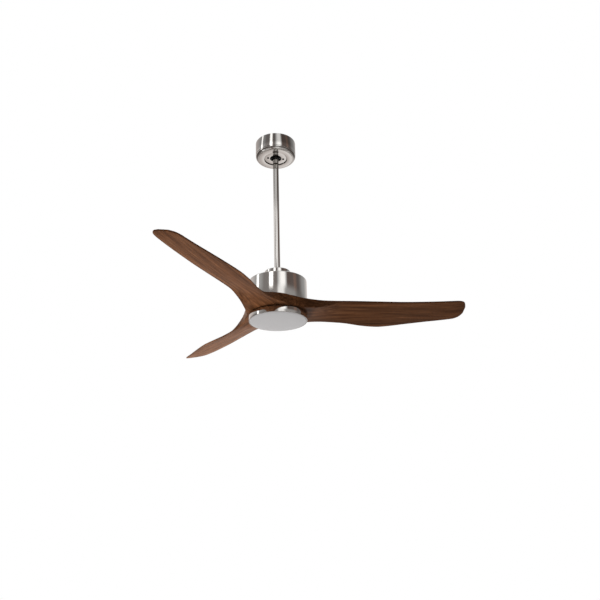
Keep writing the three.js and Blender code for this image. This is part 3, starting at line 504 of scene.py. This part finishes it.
HEAD_RADIUS = 4
HEAD_FACE = 2.6                   # radius of the head's flat face
HEAD_HEIGHT = 2
HEAD_EDGE = 1.2                   # height at which the head starts to round
SHANK_RADIUS = 1.9
TURNING_CORE = 0.4                # turned outlines stop short of the axis, and a bar fills the middle
CORE_RADIUS = 0.5
SCREW_SOFT = 0.25
SCREW_SIDES = 32
CROSS_REACH = 1.7
CROSS_HALF = 0.35
CROSS_TOP = 1.1
CROSS_CUT = 1                     # how far the cross is cut from below the head
head_under = recess_z - GAP
for number, (x, y) in enumerate(screw_places, 1):
    top = high(f"canopy_screw_{number}")[2]
    head = [
        (TURNING_CORE, recess_z - HEAD_HEIGHT),
        (HEAD_FACE, recess_z - HEAD_HEIGHT),
        (HEAD_RADIUS, recess_z - HEAD_EDGE),
        (HEAD_RADIUS, head_under),
        (SHANK_RADIUS, head_under),
        (SHANK_RADIUS, top),
        (TURNING_CORE, top),
    ]
    screw = finished(f"canopy_screw_head_{number}", turned_mesh(softened(head, SCREW_SOFT), SCREW_SIDES))
    for vertex in screw.data.vertices:
        vertex.co += Vector((x, y, 0)) * MM
    core = round_bar(CORE_RADIUS, (x, y, recess_z - HEAD_EDGE), (x, y, top))
    carved(screw, [core], "UNION")
    cross_low = recess_z - HEAD_HEIGHT - CROSS_CUT
    cross_top = recess_z - CROSS_TOP
    carved(screw, [
        block(x - CROSS_REACH, x + CROSS_REACH, y - CROSS_HALF, y + CROSS_HALF, cross_low, cross_top),
        block(x - CROSS_HALF, x + CROSS_HALF, y - CROSS_REACH, y + CROSS_REACH, cross_low, cross_top),
    ])
    placed(resharpened(screw), "ceiling_mount", "dark_steel", DARK_STEEL, f"canopy_screw_{number}")


# ---------------------------------------------------------------- bracket, seat and ball

PLATE = 2.5
PLATE_RADIUS = high("hanger_bracket")[0]
PLATE_SIDES = 128
BOWL_INNER = 24.8
BOWL_OUTER = 26.3
BOWL_EDGE = 50                    # degrees from straight down where the bowl stops, as for the seat
SEAT_INNER = 21.5
SEAT_OUTER = 24.3
SEAT_EDGE = 45
SEAT_BROW = -5                    # degrees at which the seat stops below the ball's middle
FLANGE = 2
FLANGE_RADIUS = 37
LEG_IN = 31
LEG_OUT = 33
LEG_HALF = 14
JOIN = 0.2                        # how far joined shapes reach into each other
LEG_TOP = -1
SLOT_X = 5
SLOT_Y = 45
SLOT_HALF = 2.75
WIRE_HOLE = (22, -22)
WIRE_HOLE_RADIUS = 8
WIRE_HOLE_SIDES = 40
ABOVE_PLATE = 1                   # how far the plate's cutting tools reach above it
BELOW_FLANGE = 2                  # and the flange's below it

bracket = ring_piece("bracket_bowl", [
    *arc(0, BALL_CENTRE, BOWL_INNER, BOWL_EDGE - 90, 0, 12),
    (BOWL_INNER, BALL_CENTRE + FLANGE),
    (FLANGE_RADIUS, BALL_CENTRE + FLANGE),
    (FLANGE_RADIUS, BALL_CENTRE),
    *arc(0, BALL_CENTRE, BOWL_OUTER, 0, BOWL_EDGE - 90, 12),
], SMALL_SIDES, 0.2)
carved(bracket, [
    block(-LEG_HALF, LEG_HALF, LEG_IN, LEG_OUT, BALL_CENTRE + JOIN, LEG_TOP),
    block(-LEG_HALF, LEG_HALF, -LEG_OUT, -LEG_IN, BALL_CENTRE + JOIN, LEG_TOP),
    round_bar(PLATE_RADIUS, (0, 0, -PLATE), (0, 0, 0), PLATE_SIDES),
], "UNION")
for y in (-SLOT_Y, SLOT_Y):
    carved(bracket, [
        block(-SLOT_X, SLOT_X, y - SLOT_HALF, y + SLOT_HALF, -CUT, ABOVE_PLATE),
        round_bar(SLOT_HALF, (-SLOT_X, y, -CUT), (-SLOT_X, y, ABOVE_PLATE)),
        round_bar(SLOT_HALF, (SLOT_X, y, -CUT), (SLOT_X, y, ABOVE_PLATE)),
    ])
carved(bracket, [round_bar(WIRE_HOLE_RADIUS, (*WIRE_HOLE, -CUT), (*WIRE_HOLE, ABOVE_PLATE),
                           WIRE_HOLE_SIDES)])
carved(bracket, [round_bar(SCREW_HOLE, (x, y, BALL_CENTRE - BELOW_FLANGE), (x, y, BALL_CENTRE + CUT))
                 for x, y in screw_places])
# The bracket is black steel, a finish that brackets really have. It was also chosen as painted shade, so that the
# canopy's inside looks dark.
placed(resharpened(bracket), "ceiling_mount", "dark_steel", DARK_STEEL, "hanger_bracket")

seat = ring_piece("rubber_seat", [
    *arc(0, BALL_CENTRE, SEAT_INNER, SEAT_EDGE - 90, SEAT_BROW, 12),
    *arc(0, BALL_CENTRE, SEAT_OUTER, SEAT_BROW, SEAT_EDGE - 90, 12),
], SMALL_SIDES, 0.4)
placed(seat, "ball_seat", "black_rubber", BLACK_RUBBER, "ball_seat")

BALL_RADIUS = 21
BALL_CUT = 14                     # the ball is cut flat this far above its middle
BALL_BORE_GAP = 0.35
PIN_SLOT_REACH = 17
PIN_SLOT_HALF = 3
SET_SCREW_HOLE = 2.7
SET_SCREW_DROP = 4
PIN_SLOT_TOP = 20                 # from the ball's middle, past its flat top
SET_SCREW_REACH = 25              # from the axis, past the ball's outside
ball_bore = ROD_RADIUS + BALL_BORE_GAP
foot = math.degrees(math.acos(ball_bore / BALL_RADIUS))
brow = math.degrees(math.asin(BALL_CUT / BALL_RADIUS))
ball = ring_piece("ball", [
    *arc(0, BALL_CENTRE, BALL_RADIUS, -foot, brow, 24),
    (ball_bore, BALL_CENTRE + BALL_CUT),
], SMALL_SIDES, 0.4)
pin_z = middle_z("ball_pin")
set_screw_z = BALL_CENTRE - SET_SCREW_DROP
carved(ball, [
    block(-PIN_SLOT_REACH, PIN_SLOT_REACH, -PIN_SLOT_HALF, PIN_SLOT_HALF,
          pin_z - PIN_SLOT_HALF, BALL_CENTRE + PIN_SLOT_TOP),
    round_bar(SET_SCREW_HOLE, (0, 0, set_screw_z), (0, SET_SCREW_REACH, set_screw_z)),
])
placed(resharpened(ball), "downrod", "black_plastic", BLACK_PLASTIC, "hanger_ball")


# ---------------------------------------------------------------- downrod

ROD_BORE = 9.2
BALL_PIN_HOLE = 2.8
COUPLING_PIN_HOLE = 3.3
ROD_CUT = 20
coupling_pin_z = middle_z("coupling_pin")

rod = ring_piece("downrod_tube", [
    (ROD_BORE, ROD_BOTTOM), (ROD_RADIUS, ROD_BOTTOM), (ROD_RADIUS, ROD_TOP), (ROD_BORE, ROD_TOP),
], SMALL_SIDES)
carved(rod, [
    round_bar(BALL_PIN_HOLE, (-ROD_CUT, 0, pin_z), (ROD_CUT, 0, pin_z)),
    round_bar(COUPLING_PIN_HOLE, (-ROD_CUT, 0, coupling_pin_z), (ROD_CUT, 0, coupling_pin_z)),
])
placed(resharpened(rod), "downrod", "nickel", POLISHED_NICKEL, "downrod")


# ---------------------------------------------------------------- motor

CAP_CORNER = 3
CAP_HOLE = ROD_RADIUS + 0.6
COVER_CORNER = 4
COVER_HOLE = 12


def drum(name, radius, hole, bottom, top, corner, sides):
    """A sheet drum, open below, with a rounded upper edge and a hole in its top."""
    r = radius - corner
    z = top - corner
    return ring_piece(name, [
        (radius - SKIN, bottom),
        (radius, bottom),
        *arc(r, z, corner, 0, 90, 8),
        (hole, top),
        (hole, top - SKIN),
        *arc(r, z, corner - SKIN, 90, 0, 6),
    ], sides)


cap = drum("coupling_cover_shell", CAP_RADIUS, CAP_HOLE, CAP_BOTTOM, CAP_TOP, CAP_CORNER, SIDES)
placed(cap, "downrod", "nickel", BRUSHED_NICKEL, "coupling_cover")
cover = drum("motor_cover_shell", COVER_RADIUS, COVER_HOLE, COVER_BOTTOM, COVER_TOP, COVER_CORNER,
             LARGE_SIDES)
placed(cover, "downrod", "nickel", BRUSHED_NICKEL, "motor_cover")


# ---------------------------------------------------------------- blades

# A blade lies along +X of its own frame, with its high edge on -Y and its low edge on +Y.
VALLEY = 54                       # x at which two blades part
SEAM = 0.6                        # how far a root's two faces are set back along X
TIP_START = 625                   # beyond this the edges curve in, and the section keeps its slope
TIP_BLEND = 600                   # the stations grow denser from here to the tip
TIP = 658
ROOT_START = 14
TAN60 = math.tan(math.pi / 3)
HIGH_EDGE = ((VALLEY, -93.3), (70, -85.2), (90, -78), (120, -69.6), (146, -64.2), (175, -62.3),
             (250, -61), (388, -63.2), (524, -65.6), (604, -66.6), (630, -65.4), (645, -59.5),
             (653, -49), (TIP, -33))
LOW_EDGE = ((VALLEY, 93.3), (70, 85), (92, 76), (120, 64.5), (147, 57.4), (171, 54.3), (205, 53.5),
            (237, 54.3), (272, 59.5), (305, 65.5), (341, 70.3), (374, 71.6), (408, 68.3), (476, 56.2),
            (539, 44.3), (591, 35), (617, 30.3), (635, 26), (650, 15.5), (TIP, 0))
HIGH_EDGE_TOP = ((VALLEY, 16.7), (110, 15.3), (190, 14.8), (250, 15.4), (350, 14.2), (430, 13.4),
                 (528, 15.4), (586, 17.8), (TIP, 22))
LOW_EDGE_BOTTOM = ((VALLEY, -16.7), (110, -17.2), (190, -21.8), (240, -24.8), (295, -29.4),
                   (358, -30.9), (392, -28.8), (464, -23.2), (529, -18.8), (582, -15.8),
                   (636, -11.8), (TIP, -9.5))
HIGH_EDGE_HEIGHT = ((VALLEY, 33.4), (84, 32.6), (134, 26), (177, 14), (208, 6.5), (240, 4.5), (TIP, 4.2))
LOW_EDGE_HEIGHT = ((VALLEY, 33.4), (110, 30), (153, 22), (186, 12.5), (212, 6), (240, 4.5), (TIP, 4.2))
CROWN = ((VALLEY, 0), (150, 1.5), (260, 3.6), (560, 3.2), (TIP, 0.6))
UNDER_SHARE = 0.25                # the underside bulges by this share of the crown
CHORD_STEPS = 14
STATION = 7
TIP_STATIONS = 16
EDGE_ROUNDING = 1.3
EDGE_ANGLE = math.radians(38)     # edges that turn by more than this are rounded
ROOT_BORE = 30
ROOT_RECESS_RADIUS = 88
ROOT_RECESS_Z = -690
BLADE_BOLT = (60, 20)
BOLT_HOLE = 2.8
BORE_LOW = -720
BORE_TOP = -640
BLADE_PAINTED_LIGHT = (1.0, 1.6, 1.4)     # painted light: each blade's wood is made lighter by this, for the stronger light on the two left blades


def through(points, x):
    """A smooth curve through (x, value) points, read at any x between them."""
    last = len(points) - 1
    i = 0
    while i < last - 1 and x > points[i + 1][0]:
        i += 1

    def slope(k):
        before = points[max(k - 1, 0)]
        after = points[min(k + 1, last)]
        return (after[1] - before[1]) / (after[0] - before[0])

    width = points[i + 1][0] - points[i][0]
    t = min(max((x - points[i][0]) / width, 0), 1)
    blend = t * t * (3 - 2 * t)
    return (points[i][1] + (points[i + 1][1] - points[i][1]) * blend
            + width * t * (1 - t) * ((1 - t) * slope(i) - t * slope(i + 1)))


def blade_section(x):
    """The loop round the blade at x: the underside from the high to the low edge, and the top back."""
    at_root = x < VALLEY
    plane = min(x, TIP_START)
    root_half = (x - SEAM) * TAN60
    high_y = -root_half if at_root else through(HIGH_EDGE, x)
    low_y = root_half if at_root else through(LOW_EDGE, x)
    plane_high = high_y if at_root else through(HIGH_EDGE, plane)
    plane_low = low_y if at_root else through(LOW_EDGE, plane)
    high_top = through(HIGH_EDGE_TOP, x)
    high_bottom = high_top - through(HIGH_EDGE_HEIGHT, x)
    low_bottom = through(LOW_EDGE_BOTTOM, x)
    low_top = low_bottom + through(LOW_EDGE_HEIGHT, x)
    under = []
    over = []
    for i in range(CHORD_STEPS + 1):
        y = high_y + (low_y - high_y) * i / CHORD_STEPS
        t = (y - plane_high) / (plane_low - plane_high)
        bulge = through(CROWN, x) * 4 * t * (1 - t)
        under_z = high_bottom + (low_bottom - high_bottom) * t - UNDER_SHARE * bulge
        under.append((x, y, WOOD_MIDDLE + under_z))
        over.append((x, y, WOOD_MIDDLE + high_top + (low_top - high_top) * t + bulge))
    return under + over[::-1]


def blade_stations():
    """The places along the blade at which its section is drawn."""
    steps = round((TIP_BLEND - VALLEY) / STATION)
    middle = [VALLEY + (TIP_BLEND - VALLEY) * i / steps for i in range(steps)]
    tip = [TIP_BLEND + (TIP - TIP_BLEND) * math.sin(math.pi / 2 * i / TIP_STATIONS)
           for i in range(TIP_STATIONS + 1)]
    return [ROOT_START] + middle + tip


def blade_shape():
    """One blade in its own frame: lofted, its edges rounded, then bored for the shaft and bolts."""
    blade = finished("blade_shape", skinned([blade_section(x) for x in blade_stations()]))
    edges = blade.modifiers.new("edges", "BEVEL")
    edges.width = EDGE_ROUNDING * MM
    edges.segments = 3
    edges.limit_method = "ANGLE"
    edges.angle_limit = EDGE_ANGLE
    baked(blade)
    bolt_x, bolt_y = BLADE_BOLT
    carved(blade, [
        round_bar(ROOT_BORE, (0, 0, BORE_LOW), (0, 0, BORE_TOP), SMALL_SIDES),
        round_bar(ROOT_RECESS_RADIUS, (0, 0, BORE_LOW), (0, 0, ROOT_RECESS_Z), SIDES),
        round_bar(BOLT_HOLE, (bolt_x, bolt_y, BORE_LOW), (bolt_x, bolt_y, BORE_TOP)),
        round_bar(BOLT_HOLE, (bolt_x, -bolt_y, BORE_LOW), (bolt_x, -bolt_y, BORE_TOP)),
    ])
    return resharpened(blade)


shape = blade_shape()
# Each blade gets its own walnut, lightened as painted light for how brightly that blade is lit.
for number, painted_lighting in enumerate(BLADE_PAINTED_LIGHT, 1):
    turn = REST_TURN + (number - 1) * 2 * math.pi / 3
    mesh = shape.data.copy()
    mesh.transform(Matrix.Rotation(turn, 4, "Z"))
    blade = bpy.data.objects.new(f"walnut_blade_{number}", mesh)
    bpy.context.scene.collection.objects.link(blade)
    placed(blade, "rotor", "walnut", walnut(f"walnut_{number}", turn, painted_lighting), f"blade_{number}")
bpy.data.objects.remove(shape)


# ---------------------------------------------------------------- light

RING_TAPER = 0.9                  # the ring's foot is narrower than its top by this
RING_WALL = 1.8
RING_LIP = 1.2
RING_LIP_RADIUS = 86
RING_CHAMFER = 0.6
RING_FOOT_IN = 0.5                # the bevel at the foot
RING_FOOT_UP = 0.7
ring_foot = RING_RADIUS - RING_TAPER
ring_inner = ring_foot - RING_WALL

light_ring = ring_piece("light_ring_shell", [
    (ring_inner, RING_BOTTOM),
    (ring_foot - RING_FOOT_IN, RING_BOTTOM),
    (ring_foot, RING_BOTTOM + RING_FOOT_UP),
    (RING_RADIUS, RING_TOP - RING_CHAMFER),
    (RING_RADIUS - RING_CHAMFER, RING_TOP),
    (RING_LIP_RADIUS, RING_TOP),
    (RING_LIP_RADIUS, RING_TOP - RING_LIP),
    (ring_inner, RING_TOP - RING_LIP),
], LARGE_SIDES)
placed(light_ring, "downrod", "nickel", POLISHED_NICKEL, "light_ring")

DIFFUSER_RADIUS = high("diffuser")[0]
DIFFUSER_WALL = 2.5
DOME_MIDDLE = 2                   # thickness in the middle
DOME_OUTSIDE = ((TURNING_CORE, 0), (25, 0.15), (50, 0.5), (70, 1.0), (85, 1.6),
                (DIFFUSER_RADIUS - 3, 2.5), (DIFFUSER_RADIUS - 1.2, 3.0), (DIFFUSER_RADIUS, 4.4))
DOME_INSIDE = ((DIFFUSER_RADIUS - DIFFUSER_WALL, 5.2), (85, 3.6), (50, 2.5), (TURNING_CORE, DOME_MIDDLE))
PLUG_RADIUS = 0.6                 # fills the middle that the turned outline leaves open

diffuser = finished("opal_diffuser", turned_mesh([
    *[(r, LIGHT_BOTTOM + z) for r, z in DOME_OUTSIDE],
    (DIFFUSER_RADIUS, DIFFUSER_TOP),
    (DIFFUSER_RADIUS - DIFFUSER_WALL, DIFFUSER_TOP),
    *[(r, LIGHT_BOTTOM + z) for r, z in DOME_INSIDE],
], LARGE_SIDES))
plug = round_bar(PLUG_RADIUS, (0, 0, LIGHT_BOTTOM), (0, 0, LIGHT_BOTTOM + DOME_MIDDLE))
carved(diffuser, [plug], "UNION")
placed(resharpened(diffuser), "downrod", "opal", OPAL, "diffuser")


# ---------------------------------------------------------------- camera, light and floor

CAMERA_PLACE = (0.0, -2.1326, -1.4928)  # metres
CAMERA_YAW = math.radians(2.07)
CAMERA_PITCH = math.radians(21.73)
CAMERA_ROLL = math.radians(-1.63)
FOCAL_PIXELS = 660.85
FRAME_PIXELS = 600
SENSOR = 36


def make_camera():
    """The camera, below the fan and looking up at it."""
    ahead = Vector((math.sin(CAMERA_YAW) * math.cos(CAMERA_PITCH),
                    math.cos(CAMERA_YAW) * math.cos(CAMERA_PITCH), math.sin(CAMERA_PITCH)))
    level = Vector((math.cos(CAMERA_YAW), -math.sin(CAMERA_YAW), 0))
    above = level.cross(ahead)
    right = level * math.cos(CAMERA_ROLL) + above * math.sin(CAMERA_ROLL)
    up = above * math.cos(CAMERA_ROLL) - level * math.sin(CAMERA_ROLL)
    data = bpy.data.cameras.new("camera")
    data.sensor_width = SENSOR
    data.lens = FOCAL_PIXELS * SENSOR / FRAME_PIXELS
    data.clip_end = 100
    camera = bpy.data.objects.new("camera", data)
    turn = Matrix((right, up, -ahead)).transposed()
    camera.matrix_world = Matrix.Translation(CAMERA_PLACE) @ turn.to_4x4()
    bpy.context.scene.collection.objects.link(camera)
    bpy.context.scene.camera = camera


# Studio cards as (degrees from the camera's side, positive to the right; radiance; brownness).
CARDS = (
    (-180, 0.95, 0.4), (-120, 0.8, 0.2), (-96, 0.55, 0), (-89, 0.45, 0), (-87, 3.0, 0), (-80, 3.0, 0),
    (-78, 0.6, 0), (-64, 0.45, 0), (-54, 0.3, 0.2), (-33, 0.3, 0.2), (-31, 2.6, 0), (-19, 3.0, 0),
    (-16, 0.3, 0.3), (-3, 0.25, 0.3), (0, 0.45, 0), (7, 1.1, 0), (14, 1.6, 0), (27, 1.6, 0),
    (33, 0.7, 0), (38, 0.15, 0.8), (56, 0.16, 0.6), (64, 0.17, 0.6), (66, 0.27, 1), (77, 0.24, 1),
    (79, 0.16, 0.5), (88, 0.15, 0.4), (99, 0.26, 0.2), (110, 0.4, 0), (124, 0.45, 0), (140, 0.7, 0.1),
    (180, 0.95, 0.4),
)
# The cards low down, for directions that rise by less than about 15 degrees.
LOW_CARDS = (
    (-180, 0.88, 0.2), (-176, 0.7, 0.25), (-165, 0.6, 0.25), (-140, 0.2, 0.3), (-88, 0.25, 0.2),
    (-86, 2.4, 0), (-81, 2.4, 0), (-78, 0.4, 0), (-54, 0.3, 0.2), (-20, 0.3, 0.2),
    (-3, 0.4, 0.2), (4, 1.3, 0), (20, 1.3, 0), (30, 0.45, 0.1), (66, 0.42, 0.1), (80, 0.22, 0.2),
    (140, 0.22, 0.2), (165, 0.9, 0.1), (176, 1.04, 0.1), (180, 0.88, 0.2),
)
CARD_PEAK = 3.0
BROWN = Vector((1.0, 0.68, 0.56))
LOW_CARDS_BELOW = (0.25, 0.31)    # heights of a direction between which the low cards give way
DIM_ABOVE = (0.48, 0.54)          # and between which the cards grow dimmer
DIM_SHARE = 0.62                  # by this share
CEILING_ABOVE = (0.8, 0.93)
CEILING_LIGHT = 1.1
# How dark it is at each height, from 0, straight down, to 1, straight up.
HORIZON_BAND = ((0.24, 0), (0.30, 1), (0.55, 1), (0.58, 0))
HORIZON_FRONT = (-0.75, -0.45)    # how far towards the camera's side the dark horizon starts
HORIZON_LIGHT = 0.1


def card_colour(radiance, brownness):
    """A card's colour as a share of the peak radiance."""
    return tuple(Vector((1, 1, 1)).lerp(BROWN, brownness) * radiance / CARD_PEAK)


def card_stops(cards):
    """The cards as the stops of a ramp that runs once round."""
    return [((turn + 180) / 360, card_colour(radiance, brownness)) for turn, radiance, brownness in cards]


def make_world():
    """A white studio: plain white to the camera, with light and dark cards round it for the metal."""
    world = bpy.data.worlds.new("studio")
    world.use_nodes = True
    bpy.context.scene.world = world
    tree = world.node_tree
    tree.nodes.clear()

    def share(value, limits):
        """0 below the two limits and 1 above them."""
        return node(tree, "ShaderNodeMapRange", {"Value": value, "From Min": limits[0],
                                                 "From Max": limits[1]}).outputs[0]

    way = node(tree, "ShaderNodeTexCoord").outputs["Generated"]
    parts = node(tree, "ShaderNodeSeparateXYZ", {0: way}).outputs
    forward = node(tree, "ShaderNodeMath", {0: parts["Y"], 1: -1.0}, operation="MULTIPLY").outputs[0]
    azimuth = node(tree, "ShaderNodeMath", {0: parts["X"], 1: forward}, operation="ARCTAN2").outputs[0]
    round_about = share(azimuth, (-math.pi, math.pi))
    cards = ramp(tree, round_about, card_stops(CARDS))
    low_cards = ramp(tree, round_about, card_stops(LOW_CARDS))
    dimmed = mixed(tree, 1.0, cards, (DIM_SHARE, DIM_SHARE, DIM_SHARE, 1), "MULTIPLY")
    upper = mixed(tree, share(parts["Z"], DIM_ABOVE), cards, dimmed)
    walls = mixed(tree, share(parts["Z"], LOW_CARDS_BELOW), low_cards, upper)
    lit = mixed(tree, share(parts["Z"], CEILING_ABOVE), walls, (*card_colour(CEILING_LIGHT, 0), 1))
    band = ramp(tree, share(parts["Z"], (-1.0, 1.0)), HORIZON_BAND)
    front = share(forward, HORIZON_FRONT)
    shade = node(tree, "ShaderNodeMath", {0: band, 1: front}, operation="MULTIPLY").outputs[0]
    room = mixed(tree, shade, lit, (*card_colour(HORIZON_LIGHT, 0.5), 1))
    seen = node(tree, "ShaderNodeLightPath").outputs["Is Camera Ray"]
    studio = node(tree, "ShaderNodeBackground", {"Color": room, "Strength": CARD_PEAK}).outputs[0]
    white = node(tree, "ShaderNodeBackground", {"Color": (1, 1, 1, 1), "Strength": 1.0}).outputs[0]
    both = node(tree, "ShaderNodeMixShader", {0: seen, 1: studio, 2: white}).outputs[0]
    node(tree, "ShaderNodeOutputWorld", {"Surface": both})


FILL_WATTS = 60
FILL_SIZE = 1.2                   # metres
FILL_PLACE = (-1.35, 1.15, -2.3)  # metres


def make_fill():
    """A soft light that shines up from near the floor, behind the fan on the left. The metal
    doesn't reflect it."""
    light = bpy.data.lights.new("fill", "AREA")
    light.energy = FILL_WATTS
    light.size = FILL_SIZE
    fill = bpy.data.objects.new("fill", light)
    fill.matrix_world = Matrix.Translation(FILL_PLACE) @ Matrix.Rotation(math.pi, 4, "X")
    fill.visible_glossy = False
    fill.visible_camera = False
    bpy.context.scene.collection.objects.link(fill)


FLOOR_Z = -2500
FLOOR_RADIUS = 2200
FLOOR_SIDES = 128


def make_floor():
    """A plain pale disc under the fan."""
    bm = bmesh.new()
    bmesh.ops.create_circle(bm, cap_ends=True, segments=FLOOR_SIDES, radius=FLOOR_RADIUS)
    bmesh.ops.translate(bm, verts=bm.verts, vec=(0, 0, FLOOR_Z))
    floor = finished("floor", bm)
    if floor.data.polygons[0].normal.z < 0:
        floor.data.flip_normals()
    floor.data.materials.append(speckled("pale_floor", (0.86, 0.86, 0.85), 0.7, 0.0, 3, contrast=0.01))


make_camera()
make_world()
make_fill()
make_floor()
bpy.context.scene.view_settings.view_transform = "Standard"
